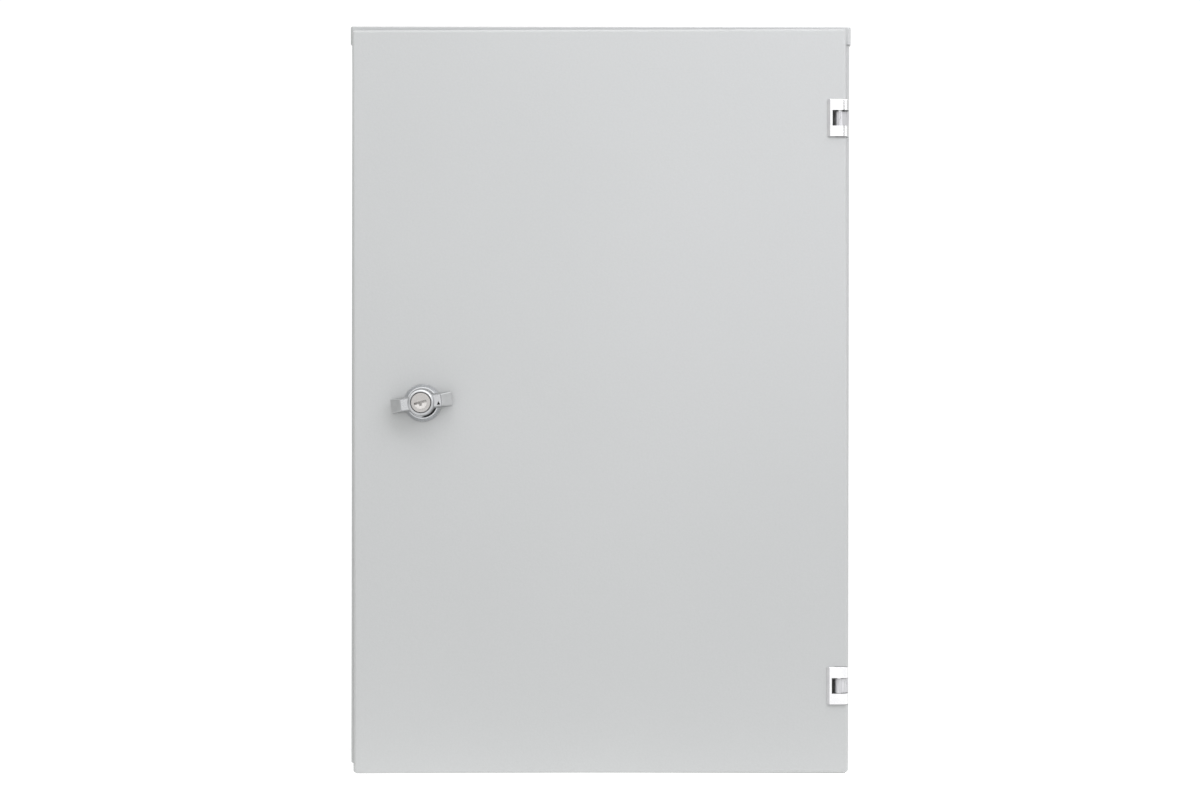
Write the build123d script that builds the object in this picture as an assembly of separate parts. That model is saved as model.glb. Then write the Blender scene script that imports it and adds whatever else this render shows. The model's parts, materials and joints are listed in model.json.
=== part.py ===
from build123d import *
import math
import os

# Wall-mounted telecom cabinet, millimetres, +Z up, the door faces -Y.
# Origin: centre of the wall-fixing holes, on the wall plane (y = 0).

# ---------------------------------------------------------------- dimensions
SHEET = 1.5  # body and door sheet
BODY_W = 400.0  # over the side walls
BODY_FRONT = -180.0  # front plane of the body's shoulder
BODY_TOP = 299.0  # body top, under the rain hood
WALL_LOW = -292.0  # lower edge of the walls
TRAY_LOW = -300.0  # underside of the bottom tray
BEND_R = 3.0  # outside bend radius of the body
OPEN_HX, OPEN_HZ = 174.0, 275.0  # half opening at the shoulder
LIP_FRONT = -192.0  # front edge of the rain channel lip

HOOD_TOP = 300.0
HOOD_T = 1.0  # hood sheet
HOOD_FRONT = -181.4  # the hood's front skirt stands behind the door's top edge
HOOD_SKIRT = 14.2  # height of the hood's skirts
HOOD_R = 1.1

DOOR_W, DOOR_H = 393.2, 591.7
DOOR_FRONT = -200.0
DOOR_BACK = -183.0
DOOR_CX, DOOR_CZ = -0.1, -1.05
DOOR_EDGE_R = 2.1  # bend round the door's face
DOOR_CORNER_R = 2.3
DOOR_SAG = 0.25  # the door hangs a little low at the lock side, degrees

SEAL_OUT_X, SEAL_OUT_Z = 178.5, 278.0
SEAL_IN_X, SEAL_IN_Z = 169.5, 267.5
SEAL_BACK = -192.3

HINGE_X, HINGE_Y = 190.4, -196.8  # hinge pin axis
HINGE_Z = (224.6, -227.0)
HINGE_R = 3.3  # barrel outside radius
HINGE_BORE = 2.05
PIN_R = 2.0
LEAF_T = 2.0
LEAF_X0 = 180.4
LEAF_BEVEL = 2.15  # width of the slope along the leaf's left edge
WRAP_X, WRAP_R, WRAP_END = 197.7, 5.0, -191.0  # the leaf turned round the door's edge
STRAP_X0, STRAP_X1 = 196.5, 198.5  # body strap, flat on the wall's inside
LEAF_HZ = 14.8
WINDOW_X0 = 184.3
WINDOW_HZ = 6.2
BARREL_HZ, BARREL_TOP = 6.0, 5.3  # the barrel sits low in its window
STUD_X, STUD_DZ = 183.2, 10.5

LOCK_X, LOCK_Z = -141.4, -2.2
LOCK_TILT = 7.6  # wing knob as photographed, degrees
ROSETTE_R = 14.9
COLLAR_R, COLLAR_IN = 12.4, 11.7
SLEEVE_R = 10.9
SPINDLE_R, SPINDLE_BORE = 7.5, 7.56
HUB_R0, HUB_R1 = 10.8, 10.4
ROSETTE_DX, ROSETTE_DZ = 0.34, -0.36  # the rosette sits a little off the knob's axis
KNOB_FRONT = -220.0
PLUG_R, PLUG_BORE = 8.3, 8.36
KEY_TILT = 14.5
CAM_FRONT, CAM_T, CAM_REACH, CAM_W = -177.4, 3.0, 45.0, 14.0

WALL_HOLE_X, WALL_HOLE_Z, WALL_HOLE_R = 160.0, 258.0, 4.25

PLATE_HX, PLATE_HZ, PLATE_T = 150.0, 240.0, 2.0
PLATE_BACK = -11.5
PLATE_FRONT = PLATE_BACK - PLATE_T
PLATE_STUD_X, PLATE_STUD_Z = 135.0, 225.0

FRAME_X = 75.0
FRAME_W, FRAME_D = 100.0, 28.0
FRAME_Z0, FRAME_Z1 = -22.0, 166.0
BLOCK_PITCH, BLOCK_H, BLOCK_W, BLOCK_D = 22.5, 20.0, 118.0, 34.0
BLOCK_TOP_Z = 151.5
BLOCKS = 6

GUIDE_Z = (150.0, 72.0, -6.0)
BAR_Z, BAR_Y = -155.0, -46.0
EARTH_Z = -90.0

GLAND_HX, GLAND_Y0, GLAND_Y1 = 160.0, -140.0, -40.0
GROMMET_X = (-117.0, -39.0, 39.0, 117.0)
GROMMET_Y = -90.0


# ------------------------------------------------------------------- helpers
def slab(x0, x1, y0, y1, z0, z1):
    return Pos((x0 + x1) / 2, (y0 + y1) / 2, (z0 + z1) / 2) * Box(
        abs(x1 - x0), abs(y1 - y0), abs(z1 - z0)
    )


def rod_y(x, z, r, y0, y1):
    return Pos(x, (y0 + y1) / 2, z) * Rot(90, 0, 0) * Cylinder(r, abs(y1 - y0))


def rod_x(y, z, r, x0, x1):
    return Pos((x0 + x1) / 2, y, z) * Rot(0, 90, 0) * Cylinder(r, abs(x1 - x0))


def rod_z(x, y, r, z0, z1):
    return Pos(x, y, (z0 + z1) / 2) * Cylinder(r, abs(z1 - z0))


def hex_y(x, z, across, y0, y1, turn=0.0):
    sketch = RegularPolygon(across / 2, 6, major_radius=False, rotation=turn)
    bar = extrude(sketch, abs(y1 - y0))
    return Pos(x, max(y0, y1), z) * Rot(90, 0, 0) * bar


def hex_x(y, z, across, x0, x1):
    sketch = RegularPolygon(across / 2, 6, major_radius=False)
    bar = extrude(sketch, abs(x1 - x0))
    return Pos(min(x0, x1), y, z) * Rot(0, 90, 0) * bar


def plan(w, d, r, yc, z0, z1):
    return Pos(0, yc, z0) * extrude(RectangleRounded(w, d, r), z1 - z0)


def turned_y(points):
    """A body of revolution about Y from (radius, y) points."""
    face = make_face(Polyline([(r, y) for r, y in points], close=True))
    return revolve(face, Axis.Y, 360)


def turned_z(points):
    """A body of revolution about Z from (radius, z) points."""
    face = Plane.XZ * make_face(Polyline([(r, z) for r, z in points], close=True))
    return revolve(face, Axis.Z, 360)


def pan_screw(x, z, y_seat, r=2.0, head_r=3.9, head=2.6, length=4.5, turn=0.0):
    """A pan-head screw pointing +Y, its head in front of y_seat, cross recess."""
    head_body = rod_y(x, z, head_r, y_seat - head, y_seat)
    front = head_body.faces().sort_by(Axis.Y)[0]
    head_body = fillet(front.edges(), head * 0.42)
    cross = slab(-head_r * 0.5, head_r * 0.5, -1.2, 0, -0.45, 0.45) + slab(
        -0.45, 0.45, -1.2, 0, -head_r * 0.5, head_r * 0.5
    )
    cross = Pos(x, y_seat - head + 1.2 - 0.001, z) * Rot(0, turn, 0) * cross
    return head_body - cross + rod_y(x, z, r, y_seat, y_seat + length)


def sagged(shape):
    """Puts a door piece where the hanging door carries it."""
    return (
        Pos(DOOR_CX, 0, DOOR_CZ)
        * Rot(0, -DOOR_SAG, 0)
        * Pos(-DOOR_CX, 0, -DOOR_CZ)
        * shape
    )


nodes = {}


def keep(name, shape):
    nodes[name] = shape


# ---------------------------------------------------------------- body shell
half = BODY_W / 2
depth = -BODY_FRONT
shell = plan(BODY_W, depth, BEND_R, BODY_FRONT / 2, WALL_LOW, BODY_TOP)
shell -= plan(
    BODY_W - 2 * SHEET,
    depth - 2 * SHEET,
    BEND_R - SHEET,
    BODY_FRONT / 2,
    WALL_LOW - 1,
    BODY_TOP - SHEET,
)
shell -= slab(
    -OPEN_HX, OPEN_HX, BODY_FRONT - 1, BODY_FRONT + SHEET + 0.2, WALL_LOW - 1, OPEN_HZ
)
lip_in_x, lip_in_z = OPEN_HX - SHEET, OPEN_HZ - SHEET
inner_y = BODY_FRONT + SHEET
for side in (-1, 1):
    shell += slab(
        side * OPEN_HX, side * lip_in_x, LIP_FRONT, inner_y, -OPEN_HZ + 1.8, OPEN_HZ
    )
shell += slab(-lip_in_x, lip_in_x, LIP_FRONT, inner_y, lip_in_z, OPEN_HZ)
for sx in (-1, 1):
    for sz in (-1, 1):
        shell -= rod_y(sx * WALL_HOLE_X, sz * WALL_HOLE_Z, WALL_HOLE_R, -5, 5)
# slots in the shoulder that let the hinge straps through
for z in HINGE_Z:
    shell -= slab(
        STRAP_X0 - 0.3,
        half - SHEET,
        BODY_FRONT - 1,
        BODY_FRONT + 4.5,
        z - BARREL_HZ - 0.3,
        z + BARREL_HZ + 0.3,
    )
keep("body_shell", shell)

# ----------------------------------------------------------------- rain hood
hood_d = -HOOD_FRONT
hood = plan(
    BODY_W + 2 * HOOD_T, hood_d + 10, 2.4, HOOD_FRONT / 2 + 5, HOOD_TOP - HOOD_SKIRT, HOOD_TOP
)
edges = [
    e
    for e in hood.faces().sort_by(Axis.Z)[-1].edges()
    if abs(e.center().Y - 10) > 3
]
hood = fillet(edges, HOOD_R)
hood -= slab(-260, 260, 0, 30, 0, 400)
hood -= slab(
    -half, half, HOOD_FRONT + HOOD_T, 5, HOOD_TOP - HOOD_SKIRT - 1, HOOD_TOP - HOOD_T
)
keep("rain_hood", hood)

# --------------------------------------------------------------- bottom tray
tray_half = half - SHEET - 0.2
tray_y1 = -SHEET - 0.2
tray_d = tray_y1 - BODY_FRONT
tray_yc = (tray_y1 + BODY_FRONT) / 2
tray = plan(2 * tray_half, tray_d, 2.2, tray_yc, TRAY_LOW, -280.0)
tray = fillet(tray.faces().sort_by(Axis.Z)[0].edges(), 1.5)
tray -= plan(
    2 * (tray_half - SHEET), tray_d - 2 * SHEET, 0.7, tray_yc, TRAY_LOW + SHEET, -200
)
for side in (-1, 1):
    tray -= slab(
        side * (OPEN_HX - 0.2),
        side * 230,
        BODY_FRONT - 1,
        BODY_FRONT + 4.5,
        WALL_LOW - 0.2,
        -200,
    )
tray += slab(
    -OPEN_HX + 0.2, OPEN_HX - 0.2, BODY_FRONT, inner_y, -281.0, -OPEN_HZ
)
tray += slab(
    -lip_in_x + 0.2, lip_in_x - 0.2, LIP_FRONT, inner_y, -OPEN_HZ, -lip_in_z
)
cut = Pos(0, (GLAND_Y0 + GLAND_Y1) / 2, TRAY_LOW - 1) * extrude(
    RectangleRounded(2 * GLAND_HX, GLAND_Y1 - GLAND_Y0, 5), 4
)
tray -= cut
gland_screw_at = [
    (x, y) for x in (-150, -50, 50, 150) for y in (GLAND_Y0 - 7, GLAND_Y1 + 7)
]
for x, y in gland_screw_at:
    tray -= rod_z(x, y, 2.05, TRAY_LOW - 1, TRAY_LOW + 4)
keep("bottom_tray", tray)

# ------------------------------------------------- gland plate and grommets
tray_top = TRAY_LOW + SHEET
seal_top = tray_top + 2.0
gland_top = seal_top + 2.0
gl_w, gl_d = 2 * GLAND_HX + 26, GLAND_Y1 - GLAND_Y0 + 26
gl_yc = (GLAND_Y0 + GLAND_Y1) / 2
gland_seal = plan(gl_w, gl_d, 6, gl_yc, tray_top, seal_top)
gland_seal -= plan(2 * GLAND_HX, GLAND_Y1 - GLAND_Y0, 5, gl_yc, tray_top - 1, seal_top + 1)
gland_plate = plan(gl_w, gl_d, 6, gl_yc, seal_top, gland_top)
screws = []
for x, y in gland_screw_at:
    gland_seal -= rod_z(x, y, 2.6, tray_top - 1, seal_top + 1)
    gland_plate -= rod_z(x, y, 2.3, seal_top - 1, gland_top + 1)
    screw = Pos(x, y, gland_top) * Rot(-90, 0, 0) * pan_screw(
        0, 0, 0, length=gland_top - TRAY_LOW - 0.3, turn=17.0 * x
    )
    # the screw is made pointing +Y; turned so that it points down
    screws.append(screw)
for x in GROMMET_X:
    gland_plate -= rod_z(x, GROMMET_Y, 14.3, seal_top - 1, gland_top + 1)
keep("gland_seal", gland_seal)
keep("gland_plate", gland_plate)
for i, x in enumerate(GROMMET_X):
    rubber = turned_z(
        [
            (0, gland_top + 9.0),
            (6.0, gland_top + 9.0),
            (6.6, gland_top + 8.4),
            (7.2, gland_top + 5.6),
            (10.2, gland_top + 5.4),
            (10.8, gland_top + 2.8),
            (16.6, gland_top + 2.6),
            (17.6, gland_top + 1.6),
            (17.6, gland_top),
            (14.25, gland_top),
            (14.25, seal_top),
            (17.2, seal_top),
            (17.2, seal_top - 1.4),
            (16.4, seal_top - 2.2),
            (11.2, seal_top - 2.2),
            (9.2, gland_top + 1.4),
            (9.2, gland_top + 4.2),
            (5.4, gland_top + 4.4),
            (5.0, gland_top + 7.8),
            (0, gland_top + 7.8),
        ]
    )
    keep("cable_grommet_%d" % (i + 1), Pos(x, GROMMET_Y, 0) * rubber)

# ------------------------------------------------------------ mounting plate
wall_in = -SHEET
plate = Pos(0, PLATE_BACK, 0) * Rot(90, 0, 0) * extrude(
    RectangleRounded(2 * PLATE_HX, 2 * PLATE_HZ, 10), PLATE_T
)
studs, spacers, nuts = [], [], []
for sx in (-1, 1):
    for sz in (-1, 1):
        x, z = sx * PLATE_STUD_X, sz * PLATE_STUD_Z
        studs.append(
            rod_y(x, z, 4.0, -25.0, wall_in) + rod_y(x, z, 5.5, wall_in - 1.0, wall_in)
        )
        spacers.append(
            rod_y(x, z, 7.5, PLATE_BACK, wall_in - 1.2)
            - rod_y(x, z, 4.2, PLATE_BACK - 1, wall_in)
        )
        plate -= rod_y(x, z, 4.4, PLATE_BACK - 5, PLATE_BACK + 5)
        nut = hex_y(x, z, 13.0, PLATE_FRONT - 8.0, PLATE_FRONT - 1.5, 20.0 * sx * sz)
        nut += rod_y(x, z, 8.6, PLATE_FRONT - 1.6, PLATE_FRONT)
        nuts.append(nut - rod_y(x, z, 4.03, PLATE_FRONT - 12, PLATE_FRONT + 3))
keep("plate_studs", studs)
keep("plate_spacers", spacers)
keep("plate_nuts", nuts)

# ------------------------------------------------- block frames and blocks
frame_screws = []
for name, cx in (("left", -FRAME_X), ("right", FRAME_X)):
    x0, x1 = cx - FRAME_W / 2, cx + FRAME_W / 2
    y_front = PLATE_FRONT - FRAME_D
    trough = slab(x0, x1, y_front, PLATE_FRONT, FRAME_Z0, FRAME_Z1)
    trough -= slab(
        x0 + 1.5, x1 - 1.5, y_front - 1, PLATE_FRONT - 1.5, FRAME_Z0 - 1, FRAME_Z1 + 1
    )
    # snap notches along the front edges, one pair per block place
    for k in range(8):
        zc = BLOCK_TOP_Z - k * BLOCK_PITCH
        for dz in (-7.0, 7.0):
            trough -= slab(x0 - 1, x1 + 1, y_front - 1, y_front + 4.0, zc + dz - 1.5, zc + dz + 1.5)
        trough -= slab(
            cx - 30, cx + 30, PLATE_FRONT - 3, PLATE_FRONT + 1, zc - 5.0, zc + 5.0
        ) if k in (1, 3, 5) else rod_y(cx, zc, 3.0, PLATE_FRONT - 3, PLATE_FRONT + 1)
    for dx in (-40, 40):
        for z in (FRAME_Z0 + 9, FRAME_Z1 - 9):
            trough -= rod_y(cx + dx, z, 2.3, PLATE_FRONT - 3, PLATE_FRONT + 1)
            plate -= rod_y(cx + dx, z, 2.05, PLATE_FRONT - 1, PLATE_BACK + 1)
            frame_screws.append(
                pan_screw(cx + dx, z, PLATE_FRONT - 1.5, length=4.5, turn=dx + z)
            )
    keep("block_frame_" + name, trough)
    for k in range(BLOCKS):
        zc = BLOCK_TOP_Z - k * BLOCK_PITCH
        yb = y_front - 0.2
        yf = yb - BLOCK_D
        block = slab(cx - BLOCK_W / 2, cx + BLOCK_W / 2, yf + 9, yb, zc - BLOCK_H / 2, zc + BLOCK_H / 2)
        # two terminal ledges with the disconnect channel between them
        for s in (-1, 1):
            block += slab(cx - 54.5, cx + 54.5, yf, yf + 10, zc + s * 1.8, zc + s * 9.4)
        # end posts
        for s in (-1, 1):
            block += slab(cx + s * 55.6, cx + s * 59.0, yf + 3, yf + 10, zc - 8.0, zc + 8.0)
        block = chamfer(
            [
                e
                for e in block.edges().filter_by(Axis.X)
                if abs(e.center().Y - yf) < 0.05
            ],
            0.8,
        )
        # slots for the wires, in pairs
        cuts = []
        for j in range(20):
            xs = cx - 50.5 + j * 5.2 + (0.55 if j % 2 == 0 else -0.55)
            for s in (-1, 1):
                cuts.append(
                    slab(xs - 0.5, xs + 0.5, yf - 1, yf + 7.0, zc + s * 1.7, zc + s * 9.5)
                )
        block -= cuts
        keep("terminal_block_%s_%d" % (name, k + 1), block)
keep("frame_screws", frame_screws)

# --------------------------------------------------------------- wire guides
guide_screws = []
for name, z in zip(("upper", "middle", "lower"), GUIDE_Z):
    g = slab(-13.5, 13.5, PLATE_FRONT - 1.5, PLATE_FRONT, z - 8, z + 8)
    for s in (-1, 1):
        g += slab(s * 12.0, s * 13.5, PLATE_FRONT - 50, PLATE_FRONT, z - 8, z + 8)
        g += slab(s * 4.5, s * 13.5, PLATE_FRONT - 50, PLATE_FRONT - 48.5, z - 8, z + 8)
    bends = [
        e
        for e in g.edges().filter_by(Axis.Z)
        if abs(abs(e.center().X) - 13.5) < 0.05
    ]
    g = fillet(bends, 2.0)
    g -= rod_y(0, z, 2.3, PLATE_FRONT - 4, PLATE_FRONT + 1)
    plate -= rod_y(0, z, 2.05, PLATE_FRONT - 1, PLATE_BACK + 1)
    keep("wire_guide_" + name, g)
    guide_screws.append(pan_screw(0, z, PLATE_FRONT - 1.5, length=4.5, turn=z))
keep("guide_screws", guide_screws)

# ---------------------------------------------------- lacing bar and posts
posts, post_screws = [], []
for x in (-115.0, 115.0):
    post = slab(x - 8, x + 8, BAR_Y - 9, PLATE_FRONT, BAR_Z - 9, BAR_Z + 9)
    post = fillet(
        [
            e
            for e in post.edges().filter_by(Axis.X)
            if e.center().Y < BAR_Y
        ],
        6.0,
    )
    post -= rod_x(BAR_Y, BAR_Z, 4.05, x - 20, x + 20)
    plate -= rod_y(x, BAR_Z, 2.6, PLATE_FRONT - 1, PLATE_BACK + 1)
    post -= rod_y(x, BAR_Z, 2.05, PLATE_FRONT - 14, PLATE_FRONT + 1)
    posts.append(post)
    # held from behind the plate by a screw
    screw = Pos(x, 0, BAR_Z) * Rot(0, 0, 180) * pan_screw(
        0, 0, -PLATE_BACK, length=13.0
    )
    post_screws.append(screw)
keep("lacing_posts", posts)
keep("post_screws", post_screws)
keep("lacing_bar", rod_x(BAR_Y, BAR_Z, 4.0, -132, 132))

# ----------------------------------------------------------------- earth bar
insul, earth_screws = [], []
earth_bar = slab(-80, 80, -38.5, -32.5, EARTH_Z - 7, EARTH_Z + 7)
earth_bar = fillet(earth_bar.edges().filter_by(Axis.Y), 2.0)
for x in (-66.0, 66.0):
    ins = hex_y(x, EARTH_Z, 15.0, -32.5, PLATE_FRONT)
    ins -= rod_y(x, EARTH_Z, 2.45, -33, -21)
    ins -= rod_y(x, EARTH_Z, 2.05, -19, PLATE_FRONT + 1)
    insul.append(ins)
    earth_bar -= rod_y(x, EARTH_Z, 2.7, -40, -30)
    earth_screws.append(
        pan_screw(x, EARTH_Z, -38.5, r=2.4, head_r=4.6, head=3.2, length=15.0, turn=x)
    )
    plate -= rod_y(x, EARTH_Z, 2.6, PLATE_FRONT - 1, PLATE_BACK + 1)
    post_screw = Pos(x, 0, EARTH_Z) * Rot(0, 0, 180) * pan_screw(
        0, 0, -PLATE_BACK, length=6.5
    )
    post_screws.append(post_screw)
for k in range(6):
    x = -45.0 + 18.0 * k
    earth_bar -= rod_y(x, EARTH_Z, 2.45, -40, -30)
    earth_screws.append(
        pan_screw(x, EARTH_Z, -38.7, r=2.4, head_r=4.6, head=3.2, length=5.5, turn=37 * k)
    )
nodes["post_screws"] = post_screws
keep("earth_bar", earth_bar)
keep("earth_insulators", insul)
keep("earth_screws", earth_screws)
keep("mounting_plate", plate)
keep("gland_screws", screws)

# --------------------------------------------------------------- earth studs
EY, EZ = -60.0, -236.0
keep(
    "body_earth_stud",
    rod_x(EY, EZ, 3.0, -half + SHEET, -half + SHEET + 20)
    + rod_x(EY, EZ, 4.5, -half + SHEET, -half + SHEET + 1),
)
bx = -half + SHEET + 1.2
washer = rod_x(EY, EZ, 6.5, bx, bx + 1.2) - rod_x(EY, EZ, 3.2, bx - 1, bx + 5)
nut = hex_x(EY, EZ, 10.0, bx + 1.4, bx + 6.4) - rod_x(EY, EZ, 3.03, bx, bx + 10)
keep("body_earth_nut", [washer, nut])

# ---------------------------------------------------------------------- door
door = Pos(DOOR_CX, (DOOR_FRONT + DOOR_BACK) / 2, DOOR_CZ) * Box(
    DOOR_W, DOOR_BACK - DOOR_FRONT, DOOR_H
)
door = fillet(door.edges().filter_by(Axis.Y), DOOR_CORNER_R)
door = fillet(door.faces().sort_by(Axis.Y)[0].edges(), DOOR_EDGE_R)
hollow = Pos(DOOR_CX, (DOOR_FRONT + SHEET + DOOR_BACK + 4) / 2, DOOR_CZ) * Box(
    DOOR_W - 2 * SHEET, DOOR_BACK + 4 - DOOR_FRONT - SHEET, DOOR_H - 2 * SHEET
)
hollow = fillet(hollow.edges().filter_by(Axis.Y), DOOR_CORNER_R - SHEET)
hollow = fillet(hollow.faces().sort_by(Axis.Y)[0].edges(), DOOR_EDGE_R - SHEET)
door -= hollow
door = sagged(door)
door -= rod_y(LOCK_X, LOCK_Z, SLEEVE_R + 0.35, DOOR_FRONT - 5, DOOR_FRONT + 5)
for z in HINGE_Z:
    door -= slab(
        HINGE_X - HINGE_R - 0.4, 215, DOOR_FRONT - 2, WRAP_END + 0.6,
        z - LEAF_HZ - 0.3, z + LEAF_HZ + 0.3,
    )
    door -= slab(
        WINDOW_X0, 215, DOOR_FRONT - 2, DOOR_FRONT + SHEET + 1,
        z - WINDOW_HZ, z + WINDOW_HZ,
    )
    # a notch through the whole turned edge, for the body strap
    door -= slab(
        HINGE_X + 1.6, 215, DOOR_FRONT - 2, DOOR_BACK + 2,
        z - BARREL_HZ - 0.6, z + BARREL_HZ + 0.6,
    )
    for s in (-1, 1):
        door -= rod_y(STUD_X, z + s * STUD_DZ, 1.7, DOOR_FRONT - 2, DOOR_FRONT + 4)
keep("door_panel", door)

seal = slab(-SEAL_OUT_X, SEAL_OUT_X, DOOR_FRONT + SHEET, SEAL_BACK, -SEAL_OUT_Z, SEAL_OUT_Z)
seal = fillet(seal.edges().filter_by(Axis.Y), 8.0)
seal_in = slab(-SEAL_IN_X, SEAL_IN_X, DOOR_FRONT, SEAL_BACK + 2, -SEAL_IN_Z, SEAL_IN_Z)
seal_in = fillet(seal_in.edges().filter_by(Axis.Y), 3.0)
seal -= seal_in
rim = seal.faces().sort_by(Axis.Y)[-1].edges()
seal = fillet(rim, 2.0)
keep("door_gasket", sagged(seal))

DX, DZ = 140.0, -236.0
dy = DOOR_FRONT + SHEET
keep(
    "door_earth_stud",
    sagged(rod_y(DX, DZ, 3.0, dy, dy + 16) + rod_y(DX, DZ, 4.5, dy, dy + 1)),
)
washer = rod_y(DX, DZ, 6.5, dy + 1.2, dy + 2.4) - rod_y(DX, DZ, 3.2, dy, dy + 5)
nut = hex_y(DX, DZ, 10.0, dy + 2.6, dy + 7.6) - rod_y(DX, DZ, 3.03, dy, dy + 10)
keep("door_earth_nut", [sagged(washer), sagged(nut)])

# -------------------------------------------------------------------- hinges
leaf_nuts = []
for name, z in zip(("upper", "lower"), HINGE_Z):
    yf = DOOR_FRONT - LEAF_T
    leaf = slab(LEAF_X0, WRAP_X, yf, WRAP_END, z - LEAF_HZ, z + LEAF_HZ)
    outer = [
        e
        for e in leaf.edges().filter_by(Axis.Z)
        if abs(e.center().Y - yf) < 0.05 and abs(e.center().X - WRAP_X) < 0.05
    ]
    leaf = fillet(outer, WRAP_R)
    caps = [
        e
        for e in leaf.edges().filter_by(Axis.X)
        if abs(e.center().Y - yf) < 0.05 and abs(abs(e.center().Z - z) - LEAF_HZ) < 0.05
    ]
    leaf = fillet(caps, 0.4)
    inside = slab(
        LEAF_X0 - 5, WRAP_X - LEAF_T, DOOR_FRONT, WRAP_END + 5, z - LEAF_HZ - 5, z + LEAF_HZ + 5
    )
    inner = [
        e
        for e in inside.edges().filter_by(Axis.Z)
        if abs(e.center().Y - DOOR_FRONT) < 0.05 and e.center().X > LEAF_X0
    ]
    leaf -= fillet(inner, WRAP_R - LEAF_T)
    bevel = make_face(
        Polyline(
            [
                (LEAF_X0 - 1, yf - 1),
                (LEAF_X0 + LEAF_BEVEL + 1.2, yf - 1),
                (LEAF_X0 + LEAF_BEVEL, yf),
                (LEAF_X0, yf + 1.6),
                (LEAF_X0 - 1, yf + 1.6),
            ],
            close=True,
        )
    )
    leaf -= Pos(0, 0, z - LEAF_HZ - 5) * extrude(bevel, 2 * LEAF_HZ + 10)
    for s in (-1, 1):
        z0, z1 = z + s * WINDOW_HZ, z + s * LEAF_HZ
        lo_z, hi_z = min(z0, z1), max(z0, z1)
        leaf += slab(
            HINGE_X - HINGE_R, HINGE_X + HINGE_R, DOOR_FRONT - 0.5, HINGE_Y, lo_z, hi_z
        )
        leaf += rod_z(HINGE_X, HINGE_Y, HINGE_R, lo_z, hi_z)
    leaf -= slab(WINDOW_X0, 215, yf - 5, HINGE_Y + 20, z - WINDOW_HZ, z + WINDOW_HZ)
    leaf -= rod_z(HINGE_X, HINGE_Y, HINGE_BORE, z - 30, z + 30)
    for s in (-1, 1):
        leaf += rod_y(STUD_X, z + s * STUD_DZ, 1.5, DOOR_FRONT - 1, DOOR_FRONT + 7)
        nut = hex_y(
            STUD_X, z + s * STUD_DZ, 5.5, DOOR_FRONT + SHEET, DOOR_FRONT + SHEET + 2.4, 30
        )
        nut -= rod_y(STUD_X, z + s * STUD_DZ, 1.53, DOOR_FRONT, DOOR_FRONT + 9)
        leaf_nuts.append(nut)
    keep("hinge_door_leaf_" + name, leaf)

    barrel = rod_z(HINGE_X, HINGE_Y, HINGE_R, z - BARREL_HZ, z + BARREL_TOP)
    # the strap leaves the barrel slanting back, then runs along the wall's inside
    k = math.sqrt(0.5)
    tx, ty = HINGE_X + HINGE_R * k, HINGE_Y - HINGE_R * k
    ux, uy = tx - LEAF_T * k, ty + LEAF_T * k
    foot_y = HINGE_Y + 62.0
    path = make_face(
        Polyline(
            [
                (tx, ty),
                (STRAP_X1 - 1.6, ty + STRAP_X1 - 1.6 - tx),
                (STRAP_X1 - 0.45, ty + STRAP_X1 - 0.1 - tx),
                (STRAP_X1, ty + STRAP_X1 + 1.3 - tx),
                (STRAP_X1, foot_y),
                (STRAP_X0, foot_y),
                (STRAP_X0, uy + STRAP_X0 - ux),
                (ux, uy),
            ],
            close=True,
        )
    )
    barrel += Pos(0, 0, z - BARREL_HZ) * extrude(path, BARREL_HZ + BARREL_TOP)
    barrel -= rod_z(HINGE_X, HINGE_Y, HINGE_BORE, z - 30, z + 30)
    # wide foot of the strap, flat on the wall's inside
    barrel += slab(
        STRAP_X0,
        STRAP_X1,
        BODY_FRONT + 8,
        foot_y,
        z - 14,
        z + 14,
    )
    keep("hinge_body_leaf_" + name, barrel)
    pin = rod_z(HINGE_X, HINGE_Y, PIN_R, z - LEAF_HZ + 0.1, z + LEAF_HZ - 0.1)
    pin = chamfer(pin.edges().filter_by(GeomType.CIRCLE), 0.4)
    keep("hinge_pin_" + name, pin)
keep("hinge_leaf_nuts", leaf_nuts)

# ---------------------------------------------------------------------- lock
at_lock = Pos(LOCK_X, 0, LOCK_Z)
F = DOOR_FRONT
seal_ring = rod_y(0, 0, 13.8, F - 0.8, F) - rod_y(0, 0, SLEEVE_R + 0.2, F - 2, F + 2)
keep("lock_seal", at_lock * seal_ring)
flange = turned_y(
    [
        (0, F - 2.2),
        (COLLAR_IN, F - 2.2),
        (COLLAR_IN, F - 6.0),
        (COLLAR_IN + 0.2, F - 6.2),
        (COLLAR_R - 0.25, F - 6.2),
        (COLLAR_R, F - 5.95),
        (ROSETTE_R - 0.2, F - 1.7),
        (ROSETTE_R, F - 1.4),
        (ROSETTE_R, F - 0.9),
        (0, F - 0.9),
    ]
)
rosette = Pos(ROSETTE_DX, 0, ROSETTE_DZ) * flange
rosette += rod_y(0, 0, SLEEVE_R, F - 1.5, DOOR_BACK)
rosette -= rod_y(0, 0, SPINDLE_BORE, F - 10, DOOR_BACK + 5)
keep("lock_rosette", at_lock * rosette)
lock_nut = hex_y(0, 0, 27.0, F + SHEET, F + SHEET + 5.5, 8.0)
lock_nut -= rod_y(0, 0, SLEEVE_R + 0.04, F - 5, F + 20)
keep("lock_nut", at_lock * lock_nut)

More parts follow.
